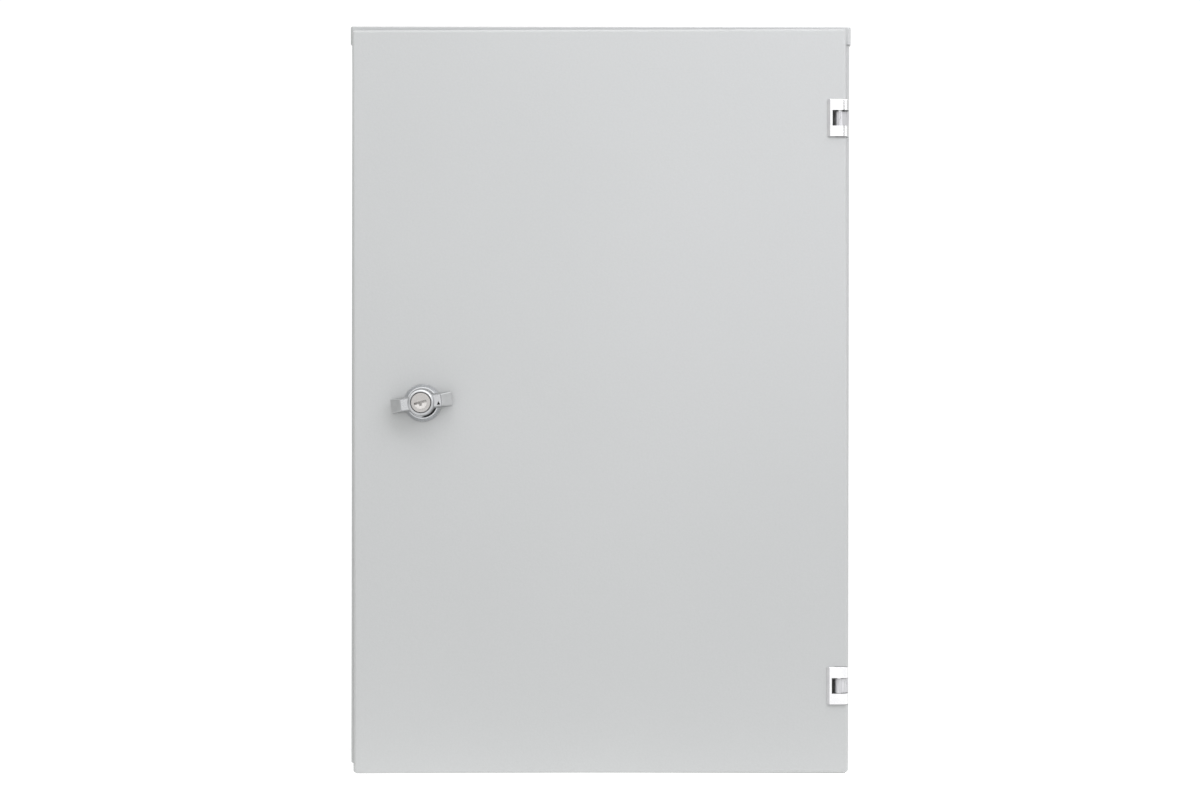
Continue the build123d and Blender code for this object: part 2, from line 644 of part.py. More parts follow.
knob = turned_y(
    [
        (0, KNOB_FRONT),
        (PLUG_R + 0.7, KNOB_FRONT),
        (HUB_R1 - 0.5, KNOB_FRONT + 0.7),
        (HUB_R1, KNOB_FRONT + 1.5),
        (HUB_R0, F - 2.5),
        (SPINDLE_R, F - 2.5),
        (SPINDLE_R, CAM_FRONT - 0.2),
        (0, CAM_FRONT - 0.2),
    ]
)
wing_lower = loft(
    [
        Pos(0, F - 9.2, 0) * Rot(90, 0, 0) * RectangleRounded(48.6, 11.8, 1.3),
        Pos(0, F - 15.9, 0) * Rot(90, 0, 0) * RectangleRounded(33.4, 9.6, 1.0),
    ]
)
wing_lower += Pos(0, F - 6.9, 0) * Rot(90, 0, 0) * extrude(
    RectangleRounded(48.6, 11.8, 1.3), 2.3
)
wing_bar = loft(
    [
        Pos(0, F - 15.9, 0) * Rot(90, 0, 0) * RectangleRounded(32.8, 9.1, 0.8),
        Pos(0, F - 17.6, 0) * Rot(90, 0, 0) * RectangleRounded(31.8, 8.5, 0.8),
    ]
)
knob += wing_lower
knob += wing_bar
# the bar's right end carries a small three-sided nick
nick = extrude(
    Pos(13.7, 0, 0)
    * Rot(90, 0, 0)
    * make_face(Polyline([(-1.35, -3.5), (1.35, -3.5), (0, -0.6)], close=True)),
    5,
)
knob -= Pos(0, F - 14.6, 0) * nick
knob -= turned_y(
    [
        (0, KNOB_FRONT - 1),
        (PLUG_R + 0.2, KNOB_FRONT - 1),
        (PLUG_R + 0.2, KNOB_FRONT + 3.0),
        (PLUG_BORE, KNOB_FRONT + 3.0),
        (PLUG_BORE, F - 5.5),
        (0, F - 5.5),
    ]
)
knob += slab(-4, 4, CAM_FRONT - 1.0, CAM_FRONT + CAM_T - 0.3, -4, 4)
knob -= rod_y(0, 0, 2.45, CAM_FRONT - 14, CAM_FRONT + 10)
knob = Rot(0, -LOCK_TILT, 0) * knob
keep("wing_knob", at_lock * knob)

plug = turned_y(
    [
        (0, KNOB_FRONT + 0.1),
        (PLUG_R - 0.75, KNOB_FRONT + 0.1),
        (PLUG_R - 0.55, KNOB_FRONT + 0.3),
        (PLUG_R - 0.55, KNOB_FRONT + 3.2),
        (PLUG_R, KNOB_FRONT + 3.4),
        (PLUG_R, F - 5.8),
        (0, F - 5.8),
    ]
)
plug -= slab(-5.2, 4.6, KNOB_FRONT - 1, KNOB_FRONT + 9, -0.75, 0.75)
plug -= slab(-1.6, 0.6, KNOB_FRONT - 1, KNOB_FRONT + 9, -2.4, 0)
# half-moon scoop under the keyway, deepest at the keyway
moon = rod_y(-0.2, 0, 4.9, KNOB_FRONT - 3, KNOB_FRONT + 3)
slope = Plane.YZ * make_face(
    Polyline(
        [
            (KNOB_FRONT - 2, 0.2),
            (KNOB_FRONT + 1.9, 0.2),
            (KNOB_FRONT + 0.2, -5.0),
            (KNOB_FRONT - 2, -5.0),
        ],
        close=True,
    )
)
moon &= Pos(-10, 0, 0) * extrude(slope, 20)
plug -= moon
# the keyway's upper edge is broken
lip = Plane.YZ * make_face(
    Polyline(
        [
            (KNOB_FRONT - 1, 0.6),
            (KNOB_FRONT - 1, 1.6),
            (KNOB_FRONT + 0.1, 1.35),
            (KNOB_FRONT + 0.85, 0.6),
        ],
        close=True,
    )
)
plug -= Pos(-5.2, 0, 0) * extrude(lip, 9.8)
plug = Rot(0, -KEY_TILT, 0) * plug
keep("key_plug", at_lock * plug)

cam = rod_y(0, 0, 10.0, CAM_FRONT, CAM_FRONT + CAM_T)
cam += slab(-CAM_W / 2, CAM_W / 2, CAM_FRONT, CAM_FRONT + CAM_T, 0, CAM_REACH)
cam = fillet(
    [e for e in cam.edges().filter_by(Axis.Y) if e.center().Z > CAM_REACH - 1], 4.0
)
cam -= slab(-4.06, 4.06, CAM_FRONT - 2, CAM_FRONT + 8, -4.06, 4.06)
cam = Rot(0, -LOCK_TILT, 0) * cam
keep("lock_cam", at_lock * cam)
cb = CAM_FRONT + CAM_T
cw = rod_y(0, 0, 7.5, cb, cb + 1.4) - rod_y(0, 0, 2.7, cb - 1, cb + 4)
screw = Rot(0, 0, 180) * pan_screw(
    0, 0, -(cb + 1.5), r=2.4, head_r=4.6, head=3.2, length=12.0, turn=20
)
keep("cam_screw", [at_lock * cw, at_lock * screw])

# -------------------------------------------------------------------- export
os.makedirs("parts", exist_ok=True)
for name, shape in nodes.items():
    if isinstance(shape, list):
        shape = Compound(children=[s if isinstance(s, Solid) else s.solid() for s in shape])
    export_step(shape, os.path.join("parts", name + ".step"))
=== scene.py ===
import bpy
import bmesh
import json
import math
from mathutils import Matrix, Vector


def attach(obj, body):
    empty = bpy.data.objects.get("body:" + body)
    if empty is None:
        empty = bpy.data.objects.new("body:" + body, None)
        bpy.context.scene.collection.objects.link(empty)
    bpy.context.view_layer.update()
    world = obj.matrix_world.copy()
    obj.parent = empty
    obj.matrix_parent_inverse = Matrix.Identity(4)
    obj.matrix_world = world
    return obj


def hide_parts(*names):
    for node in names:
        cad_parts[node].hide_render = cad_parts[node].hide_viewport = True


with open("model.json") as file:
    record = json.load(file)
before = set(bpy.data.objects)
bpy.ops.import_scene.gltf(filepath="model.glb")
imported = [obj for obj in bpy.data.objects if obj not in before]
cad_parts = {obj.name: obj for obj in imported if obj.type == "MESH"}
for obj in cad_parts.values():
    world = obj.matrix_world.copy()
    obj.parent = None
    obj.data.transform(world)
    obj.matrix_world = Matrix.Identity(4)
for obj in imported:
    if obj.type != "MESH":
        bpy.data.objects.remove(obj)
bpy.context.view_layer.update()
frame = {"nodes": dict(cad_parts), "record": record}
NODES = frame["nodes"]


# ------------------------------------------------------------ material tools
class Mat:
    """A node material being put together; coordinates are metres in the row frame."""

    def __init__(self, name, **sockets):
        self.mat = bpy.data.materials.new(name)
        self.mat.use_nodes = True
        self.nt = self.mat.node_tree
        self.bsdf = self.nt.nodes["Principled BSDF"]
        self.coord = self.nt.nodes.new("ShaderNodeTexCoord").outputs["Object"]
        for key, value in sockets.items():
            self.bsdf.inputs[key.replace("_", " ")].default_value = value

    def node(self, kind, **props):
        n = self.nt.nodes.new(kind)
        for key, value in props.items():
            setattr(n, key, value)
        return n

    def link(self, a, b):
        self.nt.links.new(a, b)

    def mapped(self, scale=(1, 1, 1), move=(0, 0, 0), turn=(0, 0, 0)):
        m = self.node("ShaderNodeMapping")
        m.inputs["Location"].default_value = move
        m.inputs["Rotation"].default_value = turn
        m.inputs["Scale"].default_value = scale
        self.link(self.coord, m.inputs["Vector"])
        return m.outputs["Vector"]

    def noise(self, scale, detail=3.0, rough=0.5, vector=None, out="Fac"):
        n = self.node("ShaderNodeTexNoise")
        n.inputs["Scale"].default_value = scale
        n.inputs["Detail"].default_value = detail
        n.inputs["Roughness"].default_value = rough
        self.link(vector or self.coord, n.inputs["Vector"])
        return n.outputs[out]

    def voronoi(self, scale, feature="F1", vector=None, out="Distance", randomness=1.0):
        n = self.node("ShaderNodeTexVoronoi", feature=feature)
        n.inputs["Scale"].default_value = scale
        n.inputs["Randomness"].default_value = randomness
        self.link(vector or self.coord, n.inputs["Vector"])
        return n.outputs[out]

    def wave(self, scale, kind="BANDS", direction="X", distortion=0.0, vector=None):
        n = self.node("ShaderNodeTexWave", wave_type=kind)
        if kind == "BANDS":
            n.bands_direction = direction
        else:
            n.rings_direction = direction
        n.inputs["Scale"].default_value = scale
        n.inputs["Distortion"].default_value = distortion
        n.inputs["Detail"].default_value = 2.0
        self.link(vector or self.coord, n.inputs["Vector"])
        return n.outputs["Fac"]

    def ramp(self, fac, stops):
        r = self.node("ShaderNodeValToRGB")
        els = r.color_ramp.elements
        while len(els) < len(stops):
            els.new(0.5)
        for e, (p, c) in zip(els, stops):
            e.position = p
            e.color = (*c, 1.0) if len(c) == 3 else c
        self.link(fac, r.inputs["Fac"])
        return r.outputs["Color"]

    def remap(self, fac, lo, hi, a=0.0, b=1.0):
        n = self.node("ShaderNodeMapRange")
        n.inputs["From Min"].default_value = a
        n.inputs["From Max"].default_value = b
        n.inputs["To Min"].default_value = lo
        n.inputs["To Max"].default_value = hi
        self.link(fac, n.inputs["Value"])
        return n.outputs["Result"]

    def math(self, op, a, b):
        n = self.node("ShaderNodeMath", operation=op)
        for sock, v in zip(n.inputs, (a, b)):
            if isinstance(v, (int, float)):
                sock.default_value = v
            else:
                self.link(v, sock)
        return n.outputs["Value"]

    def mix(self, fac, a, b, blend="MIX"):
        n = self.node("ShaderNodeMix", data_type="RGBA", blend_type=blend)
        for sock, v in ((n.inputs["Factor"], fac), (n.inputs[6], a), (n.inputs[7], b)):
            if isinstance(v, (int, float)):
                sock.default_value = v
            elif isinstance(v, tuple):
                sock.default_value = (*v, 1.0)
            else:
                self.link(v, sock)
        return n.outputs[2]

    def bump(self, height, strength, distance, before=None):
        n = self.node("ShaderNodeBump")
        n.inputs["Strength"].default_value = strength
        n.inputs["Distance"].default_value = distance
        self.link(height, n.inputs["Height"])
        if before is not None:
            self.link(before, n.inputs["Normal"])
        return n.outputs["Normal"]

    def colour(self, socket):
        self.link(socket, self.bsdf.inputs["Base Color"])

    def rough(self, socket):
        self.link(socket, self.bsdf.inputs["Roughness"])

    def normal(self, socket):
        self.link(socket, self.bsdf.inputs["Normal"])


def powder_coat():
    m = Mat("grey_powder_coat", IOR=1.5, Specular_IOR_Level=0.5)
    broad = m.noise(3.2, 2.0, 0.5)
    fine = m.noise(620.0, 2.0, 0.55)
    tone = m.ramp(
        broad,
        [(0.30, (0.386, 0.394, 0.391)), (0.55, (0.396, 0.404, 0.401)), (0.75, (0.403, 0.410, 0.408))],
    )
    speck = m.ramp(fine, [(0.30, (0.965, 0.965, 0.965)), (0.70, (1.0, 1.0, 1.0))])
    m.colour(m.mix(1.0, tone, speck, "MULTIPLY"))
    m.rough(m.remap(m.noise(45.0, 3.0, 0.6), 0.395, 0.445, 0.3, 0.7))
    peel = m.noise(760.0, 1.0, 0.4)
    long_peel = m.noise(260.0, 1.0, 0.4)
    n1 = m.bump(long_peel, 0.10, 0.0006)
    m.normal(m.bump(peel, 0.16, 0.0003, n1))
    return m.mat


def bright_plate():
    m = Mat("bright_plated_steel", Metallic=1.0)
    drawn = m.noise(55.0, 4.0, 0.6, m.mapped(scale=(9.0, 9.0, 1.0)))
    cloud = m.noise(130.0, 3.0, 0.5)
    m.colour(m.ramp(cloud, [(0.3, (0.80, 0.80, 0.81)), (0.7, (0.88, 0.88, 0.88))]))
    m.rough(m.remap(drawn, 0.10, 0.24, 0.3, 0.7))
    m.normal(m.bump(m.noise(900.0, 2.0, 0.5), 0.05, 0.0002))
    return m.mat


def leaf_plate():
    """The door leaves: bright plated; the sloped faces turned left are painted darker and rougher as shade, and the
    faces turned downward are painted near-black as shadow.
    """
    m = Mat("bright_plated_leaf", Metallic=1.0)
    drawn = m.noise(55.0, 4.0, 0.6, m.mapped(scale=(9.0, 9.0, 1.0)))
    cloud = m.noise(130.0, 3.0, 0.5)
    face = m.node("ShaderNodeSeparateXYZ")
    m.link(m.node("ShaderNodeTexCoord").outputs["Normal"], face.inputs["Vector"])
    # faces turned left take a darker grey as painted shade; faces turned downward take near-black as painted shadow
    slope_shade = m.remap(face.outputs["X"], 1.0, 0.0, -0.50, -0.35)
    downward_face_shade = m.remap(face.outputs["Z"], 1.0, 0.0, -0.85, -0.65)
    plated = m.ramp(cloud, [(0.3, (0.80, 0.80, 0.81)), (0.7, (0.88, 0.88, 0.88))])
    painted_slope_shade = m.ramp(cloud, [(0.3, (0.52, 0.52, 0.53)), (0.7, (0.58, 0.58, 0.58))])
    # near-black: the painted shadow on the downward faces
    dark = m.ramp(cloud, [(0.3, (0.035, 0.035, 0.036)), (0.7, (0.060, 0.060, 0.061))])
    m.colour(m.mix(downward_face_shade, m.mix(slope_shade, plated, painted_slope_shade), dark))
    m.rough(m.math("ADD", m.remap(drawn, 0.10, 0.24, 0.3, 0.7), m.remap(slope_shade, 0.0, 0.45)))
    m.normal(m.bump(m.noise(900.0, 2.0, 0.5), 0.05, 0.0002))
    return m.mat


def wing_cast(cx, cz, tilt):
    """The knob: a matt grey casting, its bar and hub polished, the hub's rim duller, the nick dark."""
    m = Mat("wing_casting", Metallic=1.0)
    grain = m.noise(1500.0, 3.0, 0.6)
    cloud = m.noise(140.0, 3.0, 0.55)
    xyz = m.node("ShaderNodeSeparateXYZ")
    m.link(m.coord, xyz.inputs["Vector"])
    back = m.remap(xyz.outputs["Y"], 0.0, 1.0, -0.21600, -0.21580)
    own = m.node("ShaderNodeSeparateXYZ")
    turned = Matrix.Rotation(tilt, 3, "Y") @ Vector((cx, 0.0, cz))
    m.link(m.mapped(turn=(0.0, tilt, 0.0), move=tuple(-turned)), own.inputs["Vector"])

    def away(u, v):
        du, dv = m.math("SUBTRACT", own.outputs["X"], u), m.math("SUBTRACT", own.outputs["Z"], v)
        return m.math("SQRT", m.math("ADD", m.math("MULTIPLY", du, du), m.math("MULTIPLY", dv, dv)), 0.0)

    reach = away(0.0, 0.0)
    rim = m.math("MULTIPLY", m.remap(reach, 0.0, 1.0, 0.0086, 0.0091), m.remap(reach, 1.0, 0.0, 0.0106, 0.0110))
    nick = m.math(
        "MULTIPLY", m.remap(away(0.0137, -0.0024), 1.0, 0.0, 0.0018, 0.0019), m.remap(xyz.outputs["Y"], 0.0, 1.0, -0.2173, -0.2170)
    )
    shiny = m.ramp(cloud, [(0.28, (0.510, 0.518, 0.53)), (0.72, (0.575, 0.583, 0.595))])
    matt = m.ramp(cloud, [(0.28, (0.385, 0.392, 0.392)), (0.72, (0.430, 0.437, 0.437))])
    speck = m.ramp(grain, [(0.25, (0.92, 0.92, 0.92)), (0.65, (1.0, 1.0, 1.0))])
    dull = m.ramp(cloud, [(0.28, (0.455, 0.462, 0.470)), (0.72, (0.505, 0.512, 0.520))])
    dark = m.ramp(cloud, [(0.28, (0.020, 0.020, 0.021)), (0.72, (0.035, 0.035, 0.036))])
    tone = m.mix(back, m.mix(rim, shiny, dull), matt)
    m.colour(m.mix(nick, m.mix(1.0, tone, speck, "MULTIPLY"), dark))
    wear = m.math("ADD", m.remap(back, 0.0, 0.22), m.remap(rim, 0.0, 0.12))
    m.rough(m.math("ADD", m.remap(grain, 0.20, 0.30, 0.25, 0.75), wear))
    m.normal(m.bump(grain, 0.10, 0.0002))
    return m.mat


def rosette_cast(cx, cz):
    """The rosette: satin casting; the floor of the recess inside its collar is painted near-black on its lower right
    side as shadow in the gap.
    """
    m = Mat("rosette_casting", Metallic=1.0)
    grain = m.noise(1500.0, 3.0, 0.6)
    cloud = m.noise(140.0, 3.0, 0.55)
    xyz = m.node("ShaderNodeSeparateXYZ")
    m.link(m.mapped(move=(-cx, 0, -cz)), xyz.inputs["Vector"])
    dist = m.math(
        "SQRT",
        m.math(
            "ADD",
            m.math("MULTIPLY", xyz.outputs["X"], xyz.outputs["X"]),
            m.math("MULTIPLY", xyz.outputs["Z"], xyz.outputs["Z"]),
        ),
        0.0,
    )
    # the lower right side of the recess inside the collar takes painted shadow
    shaded_side = m.math("SUBTRACT", xyz.outputs["X"], xyz.outputs["Z"])
    recess_shade = m.math(
        "MULTIPLY", m.remap(dist, 1.0, 0.0, 0.01135, 0.01165), m.remap(shaded_side, 0.0, 1.0, 0.0095, 0.0120)
    )
    cone = m.ramp(cloud, [(0.28, (0.52, 0.53, 0.545)), (0.72, (0.585, 0.595, 0.61))])
    # inside 12.4 mm from the axis the casting takes a lighter tone
    lighter_collar_ring = m.ramp(cloud, [(0.28, (0.69, 0.70, 0.715)), (0.72, (0.745, 0.755, 0.77))])
    base = m.mix(m.remap(dist, 1.0, 0.0, 0.01240, 0.01275), cone, lighter_collar_ring)
    speck = m.ramp(grain, [(0.25, (0.92, 0.92, 0.92)), (0.65, (1.0, 1.0, 1.0))])
    tone = m.mix(1.0, base, speck, "MULTIPLY")
    # near-black: the painted shadow in the recess
    dark = m.ramp(cloud, [(0.28, (0.020, 0.020, 0.021)), (0.72, (0.035, 0.035, 0.036))])
    m.colour(m.mix(recess_shade, tone, dark))
    m.rough(m.remap(grain, 0.24, 0.36, 0.25, 0.75))
    m.normal(m.bump(grain, 0.10, 0.0002))
    return m.mat


def barrel_plate():
    """The body leaves: satin zinc; the faces turned up and down, the barrel's ends, are painted near-black as shadow in
    the gaps of the window.
    """
    m = Mat("satin_plated_barrel", Metallic=0.5)
    drawn = m.noise(55.0, 4.0, 0.6, m.mapped(scale=(9.0, 9.0, 1.0)))
    cloud = m.noise(130.0, 3.0, 0.5)
    face = m.node("ShaderNodeSeparateXYZ")
    m.link(m.node("ShaderNodeTexCoord").outputs["Normal"], face.inputs["Vector"])
    # faces turned up or down take painted shadow, near-black
    ends = m.remap(m.math("MULTIPLY", face.outputs["Z"], face.outputs["Z"]), 0.0, 1.0, 0.50, 0.75)
    lines = m.noise(60.0, 3.0, 0.6, m.mapped(scale=(22.0, 22.0, 0.6)))
    satin = m.ramp(lines, [(0.36, (0.40, 0.40, 0.412)), (0.50, (0.48, 0.48, 0.49)), (0.62, (0.60, 0.60, 0.61))])
    dark = m.ramp(cloud, [(0.3, (0.035, 0.035, 0.036)), (0.7, (0.060, 0.060, 0.061))])
    m.colour(m.mix(ends, satin, dark))
    m.rough(m.remap(drawn, 0.24, 0.40, 0.3, 0.7))
    m.normal(m.bump(m.noise(900.0, 2.0, 0.5), 0.05, 0.0002))
    return m.mat


def turned_plug(cx, cz):
    m = Mat("turned_nickel", Metallic=1.0)
    at = m.mapped(move=(-cx, 0, -cz))
    rings = m.wave(950.0, "RINGS", "Y", 0.4, at)
    cloud = m.noise(260.0, 3.0, 0.55)
    base = m.ramp(cloud, [(0.3, (0.475, 0.460, 0.448)), (0.7, (0.515, 0.500, 0.487))])
    ring_tone = m.ramp(rings, [(0.0, (0.95, 0.95, 0.95)), (1.0, (1.0, 1.0, 1.0))])
    m.colour(m.mix(1.0, base, ring_tone, "MULTIPLY"))
    m.rough(m.remap(cloud, 0.22, 0.36, 0.3, 0.7))
    m.normal(m.bump(rings, 0.04, 0.0001))
    return m.mat


def galvanised():
    m = Mat("galvanised_sheet", Metallic=1.0)
    warp = m.noise(30.0, 2.0, 0.5, out="Color")
    v = m.node("ShaderNodeVectorMath", operation="MULTIPLY_ADD")
    m.link(warp, v.inputs[0])
    v.inputs[1].default_value = (0.012, 0.012, 0.012)
    m.link(m.coord, v.inputs[2])
    cells = m.voronoi(95.0, vector=v.outputs["Vector"], out="Color")
    sep = m.node("ShaderNodeSeparateColor")
    m.link(cells, sep.inputs["Color"])
    fine = m.noise(420.0, 3.0, 0.6)
    tone = m.ramp(
        sep.outputs["Red"],
        [(0.0, (0.53, 0.55, 0.57)), (0.5, (0.60, 0.62, 0.64)), (1.0, (0.69, 0.70, 0.71))],
    )
    m.colour(m.mix(0.35, tone, m.ramp(fine, [(0.3, (0.54, 0.56, 0.58)), (0.7, (0.68, 0.69, 0.70))])))
    m.rough(m.remap(sep.outputs["Green"], 0.30, 0.48))
    m.normal(m.bump(fine, 0.06, 0.0003))
    return m.mat


def zinc_fastener():
    m = Mat("zinc_fastener", Metallic=1.0)
    cloud = m.noise(210.0, 3.0, 0.6)
    m.colour(m.ramp(cloud, [(0.3, (0.58, 0.60, 0.63)), (0.7, (0.74, 0.74, 0.74))]))
    m.rough(m.remap(m.noise(900.0, 2.0, 0.5), 0.22, 0.40, 0.3, 0.7))
    m.normal(m.bump(m.noise(1300.0, 2.0, 0.5), 0.06, 0.0002))
    return m.mat


def tinned_clip():
    m = Mat("tinned_clip", Metallic=1.0)
    cloud = m.noise(500.0, 2.0, 0.5)
    m.colour(m.ramp(cloud, [(0.3, (0.72, 0.72, 0.71)), (0.7, (0.83, 0.83, 0.81))]))
    m.rough(m.remap(cloud, 0.20, 0.34, 0.3, 0.7))
    m.normal(m.bump(m.noise(2200.0, 2.0, 0.5), 0.05, 0.0001))
    return m.mat


def rubber():
    m = Mat("black_rubber", Specular_IOR_Level=0.35)
    cloud = m.noise(60.0, 3.0, 0.6)
    m.colour(m.ramp(cloud, [(0.3, (0.018, 0.018, 0.019)), (0.7, (0.034, 0.034, 0.034))]))
    m.rough(m.remap(cloud, 0.62, 0.82, 0.3, 0.7))
    m.normal(m.bump(m.noise(1800.0, 2.0, 0.5), 0.18, 0.0003))
    return m.mat


def plastic(name, dark, light, r0, r1, grain=1400.0):
    m = Mat(name, Specular_IOR_Level=0.45)
    cloud = m.noise(38.0, 3.0, 0.55)
    m.colour(m.ramp(cloud, [(0.3, dark), (0.7, light)]))
    m.rough(m.remap(m.noise(160.0, 2.0, 0.5), r0, r1, 0.3, 0.7))
    m.normal(m.bump(m.noise(grain, 2.0, 0.5), 0.10, 0.0003))
    return m.mat


def brass():
    m = Mat("bare_brass", Metallic=1.0)
    drawn = m.noise(26.0, 4.0, 0.6, m.mapped(scale=(1.0, 14.0, 14.0)))
    stain = m.noise(90.0, 4.0, 0.65)
    base = m.ramp(drawn, [(0.3, (0.62, 0.44, 0.19)), (0.7, (0.78, 0.59, 0.29))])
    dull = m.ramp(stain, [(0.42, (1.0, 1.0, 1.0)), (0.72, (0.74, 0.68, 0.60))])
    m.colour(m.mix(1.0, base, dull, "MULTIPLY"))
    m.rough(m.remap(stain, 0.24, 0.46, 0.3, 0.7))
    m.normal(m.bump(drawn, 0.08, 0.0003))
    return m.mat


LOCK_X, LOCK_Z = -0.1414, -0.0022

MATERIALS = {
    "grey_paint": powder_coat(),
    "hinge_chrome": bright_plate(),
    "lock_diecast": rosette_cast(LOCK_X + 0.00034, LOCK_Z - 0.00036),
    "plug_nickel": turned_plug(LOCK_X, LOCK_Z),
    "galvanised": galvanised(),
    "zinc_fastener": zinc_fastener(),
    "black_rubber": rubber(),
    "block_plastic": plastic("pale_moulding", (0.62, 0.61, 0.57), (0.70, 0.69, 0.655), 0.38, 0.52),
    "post_plastic": plastic("black_moulding", (0.020, 0.020, 0.021), (0.036, 0.036, 0.037), 0.40, 0.55),
    "earth_brass": brass(),
    "insulator_red": plastic("red_moulding", (0.30, 0.022, 0.015), (0.42, 0.040, 0.025), 0.22, 0.34),
}

OWN = {"wing_knob": wing_cast(LOCK_X, LOCK_Z, math.radians(7.6))}
OWN["hinge_body_leaf_upper"] = OWN["hinge_body_leaf_lower"] = barrel_plate()
OWN["hinge_door_leaf_upper"] = OWN["hinge_door_leaf_lower"] = leaf_plate()

for part in frame["record"]["subparts"]:
    obj = NODES[part["node"]]
    mat = OWN.get(part["node"], MATERIALS[part["material_slot"]])
    for s in obj.material_slots:
        s.material = mat


# ---------------------------------------------------------------- new pieces
def add_piece(name, bm, body, mat, smooth_deg=None, stands_for=()):
    bmesh.ops.recalc_face_normals(bm, faces=bm.faces)
    mesh = bpy.data.meshes.new(name)
    bm.to_mesh(mesh)
    bm.free()
    mesh.materials.append(mat)
    if smooth_deg is not None:
        mesh.polygons.foreach_set("use_smooth", [True] * len(mesh.polygons))
        mesh.set_sharp_from_angle(angle=math.radians(smooth_deg))
    ob = bpy.data.objects.new(name, mesh)
    bpy.context.collection.objects.link(ob)
    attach(ob, body)
    if stands_for:
        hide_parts(*stands_for)
    return ob


def threaded_stud(bm, base, axis, side, profile, r_top, r_root, pitch, start, end, seg=28, per=6):
    """A round stud along axis from base: profile gives (distance, radius) of its plain
    foot, and the thread runs from start to end, with both of its ends run out."""
    up_dir = axis.cross(side)

    def ring(d, radius_at):
        return [
            bm.verts.new(
                base + axis * d + (side * math.cos(a) + up_dir * math.sin(a)) * radius_at(a)
            )
            for a in (2 * math.pi * i / seg for i in range(seg))
        ]

    rings = [ring(d, lambda a, r=r: r) for d, r in profile]
    steps = int(round((end - start) / pitch * per))
    for i in range(steps + 1):
        d = start + (end - start) * i / steps
        fade = min(1.0, (d - start) / pitch, (end - d) / (0.8 * pitch))
        tip = min(1.0, max(0.0, (end - d) / (0.7 * pitch)))

        def r_at(a, d=d, fade=fade, tip=tip):
            t = (d / pitch - a / (2 * math.pi)) % 1.0
            wave = min(1.0, max(0.0, 1.6 * abs(2.0 * t - 1.0) - 0.25))
            r = r_root + (r_top - r_root) * wave * max(0.0, fade)
            return min(r, r_root - 0.12 * (r_top - r_root) + (r_top - r_root) * 1.2 * tip)

        rings.append(ring(d, r_at))
    for a, b in zip(rings, rings[1:]):
        for i in range(seg):
            bm.faces.new((a[i], a[(i + 1) % seg], b[(i + 1) % seg], b[i]))
    bm.faces.new(list(reversed(rings[0])))
    bm.faces.new(rings[-1])


MM = 0.001
Y_FWD = Vector((0, -1, 0))
zinc = MATERIALS["zinc_fastener"]

bm = bmesh.new()
for sx in (-1, 1):
    for sz in (-1, 1):
        threaded_stud(
            bm, Vector((sx * 135 * MM, -1.5 * MM, sz * 225 * MM)), Y_FWD, Vector((1, 0, 0)),
            [(0.0, 5.2 * MM), (0.15 * MM, 5.5 * MM), (0.85 * MM, 5.5 * MM), (1.0 * MM, 5.3 * MM), (1.0 * MM, 3.5 * MM)],
            3.97 * MM, 3.42 * MM, 1.25 * MM, 1.6 * MM, 23.5 * MM,
        )
add_piece("plate_studs_threaded", bm, "cabinet", zinc, 40, ("plate_studs",))

bm = bmesh.new()
threaded_stud(
    bm, Vector((-198.5 * MM, -60 * MM, -236 * MM)), Vector((1, 0, 0)), Vector((0, 1, 0)),
    [(0.0, 4.2 * MM), (0.15 * MM, 4.5 * MM), (0.85 * MM, 4.5 * MM), (1.0 * MM, 4.3 * MM), (1.0 * MM, 2.6 * MM)],
    2.97 * MM, 2.52 * MM, 1.0 * MM, 1.5 * MM, 20.0 * MM,
)
add_piece("body_earth_stud_threaded", bm, "cabinet", zinc, 40, ("body_earth_stud",))

SAG = math.radians(0.25)


def hung(x, y, z):
    """A point of the door, where the hanging door carries it (mm in, metres out)."""
    dx, dz = x + 0.1, z + 1.05
    return Vector(
        (
            (-0.1 + dx * math.cos(SAG) - dz * math.sin(SAG)) * MM,
            y * MM,
            (-1.05 + dx * math.sin(SAG) + dz * math.cos(SAG)) * MM,
        )
    )


bm = bmesh.new()
threaded_stud(
    bm, hung(140, -198.5, -236), Vector((0, 1, 0)), Vector((1, 0, 0)),
    [(0.0, 4.2 * MM), (0.15 * MM, 4.5 * MM), (0.85 * MM, 4.5 * MM), (1.0 * MM, 4.3 * MM), (1.0 * MM, 2.6 * MM)],
    2.97 * MM, 2.52 * MM, 1.0 * MM, 1.5 * MM, 16.0 * MM,
)
add_piece("door_earth_stud_threaded", bm, "door", zinc, 40, ("door_earth_stud",))


# forked clips, one in each wire slot of the terminal blocks
def clip(bm, x, y, z):
    """A forked blade across the slot: two tines with a notch that opens to the front."""
    w, d, t = 0.43 * MM, 4.6 * MM, 0.30 * MM
    outline = [
        (-w, 0.0), (-w * 0.55, 0.0), (-w * 0.28, 1.1 * MM), (-w * 0.28, 3.2 * MM),
        (w * 0.28, 3.2 * MM), (w * 0.28, 1.1 * MM), (w * 0.55, 0.0), (w, 0.0),
        (w, d), (-w, d),
    ]
    lo = [bm.verts.new((x + px, y + py, z - t)) for px, py in outline]
    hi = [bm.verts.new((x + px, y + py, z + t)) for px, py in outline]
    n = len(outline)
    bm.faces.new(lo)
    bm.faces.new(list(reversed(hi)))
    for i in range(n):
        bm.faces.new((lo[i], hi[i], hi[(i + 1) % n], lo[(i + 1) % n]))


clip_metal = tinned_clip()
BLOCK_FRONT_Y = -75.7
for side, cx in (("left", -75.0), ("right", 75.0)):
    for k in range(6):
        zc = 151.5 - 22.5 * k
        bm = bmesh.new()
        for j in range(20):
            xs = cx - 50.5 + j * 5.2 + (0.55 if j % 2 == 0 else -0.55)
            for s in (-1, 1):
                for off in (3.6, 7.4):
                    clip(bm, xs * MM, (BLOCK_FRONT_Y + 1.6) * MM, (zc + s * off) * MM)
        add_piece("wire_clips_%s_%d" % (side, k + 1), bm, "cabinet", clip_metal)


